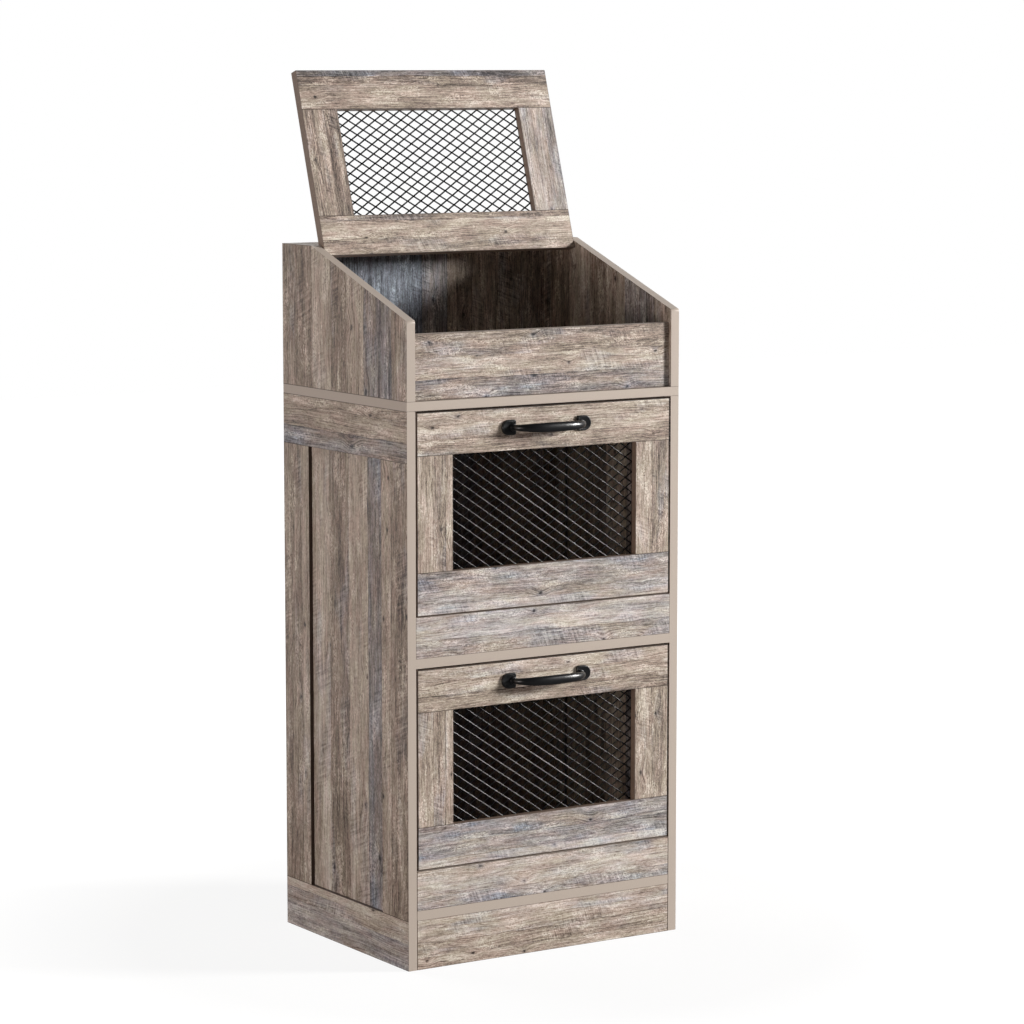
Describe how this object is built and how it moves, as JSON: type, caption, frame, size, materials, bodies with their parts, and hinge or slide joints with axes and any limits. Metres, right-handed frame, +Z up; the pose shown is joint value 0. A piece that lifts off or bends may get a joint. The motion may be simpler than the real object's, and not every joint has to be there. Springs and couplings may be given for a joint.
{
  "type": "potato storage bin",
  "caption": "Slim upright vegetable cabinet of board: a bin under a tilt-up mesh lid, over lockers with drop-down mesh doors and arched pull handles.",
  "frame": {"origin": "on the floor, in the middle of the whole outline at rest, handles included", "axes": "+Z up, the front with its doors faces -Y, +X to the right as seen from the front"},
  "size_m": [0.401, 0.334, 1.0986],
  "materials": {
    "board_face": "matt weathered plank print",
    "board_edge": "edge-banded boards, plain greige band",
    "hardboard": "printed thin board",
    "dowel_wood": "plain beech",
    "black_mesh": "satin black powder coat",
    "black_handle": "satin black, hammered end plates",
    "steel": "zinc plated",
    "zinc_cam": "die-cast zinc",
    "catch_plastic": "moulded"
  },
  "bodies": {
    "cabinet": {"left_front_stile": "board_face", "left_rear_stile": "board_face", "left_top_rail": "board_face", "left_bottom_rail": "board_face", "left_inset_panel": "board_face", "right_front_stile": "board_face", "right_rear_stile": "board_face", "right_top_rail": "board_face", "right_bottom_rail": "board_face", "right_inset_panel": "board_face", "bottom_board": "board_edge", "middle_shelf": "board_edge", "top_board": "board_edge", "kick_panel": "board_face", "lower_retaining_panel": "board_face", "upper_retaining_panel": "board_face", "lower_back_panel": "hardboard", "upper_left_side": "board_face", "upper_right_side": "board_face", "upper_front_panel": "board_face", "upper_back_panel": "board_face", "rear_top_board": "board_face", "cam_locks": "zinc_cam", "cam_bolts": "steel", "cabinet_dowels": "dowel_wood", "catch_housings": "catch_plastic", "catch_magnets": "steel", "catch_screws": "steel", "lid_pivot_pins": "steel", "lower_door_pivot_pins": "steel", "upper_door_pivot_pins": "steel"},
    "lid": {"lid_front_rail": "board_face", "lid_rear_rail": "board_face", "lid_left_stile": "board_face", "lid_right_stile": "board_face", "lid_mesh": "black_mesh", "lid_mesh_screws": "steel", "lid_dowels": "dowel_wood"},
    "lower_door": {"lower_door_top_rail": "board_face", "lower_door_bottom_rail": "board_face", "lower_door_left_stile": "board_face", "lower_door_right_stile": "board_face", "lower_door_mesh": "black_mesh", "lower_door_mesh_screws": "steel", "lower_door_dowels": "dowel_wood", "lower_door_handle": "black_handle", "lower_door_handle_screws": "steel", "lower_door_strike_plate": "steel"},
    "upper_door": {"upper_door_top_rail": "board_face", "upper_door_bottom_rail": "board_face", "upper_door_left_stile": "board_face", "upper_door_right_stile": "board_face", "upper_door_mesh": "black_mesh", "upper_door_mesh_screws": "steel", "upper_door_dowels": "dowel_wood", "upper_door_handle": "black_handle", "upper_door_handle_screws": "steel", "upper_door_strike_plate": "steel"}
  },
  "joints": [
    {"name": "lid_hinge", "type": "hinge", "parent": "cabinet", "child": "lid", "pos_m": [0, 0.08744, 0.87269], "axis": [1, 0, 0], "range_deg": [0, 128.32]},
    {"name": "lower_door_hinge", "type": "hinge", "parent": "cabinet", "child": "lower_door", "pos_m": [0, -0.1345, 0.128], "axis": [1, 0, 0], "range_deg": [0, 100]},
    {"name": "upper_door_hinge", "type": "hinge", "parent": "cabinet", "child": "upper_door", "pos_m": [0, -0.1345, 0.443], "axis": [1, 0, 0], "range_deg": [0, 100]}
  ]
}
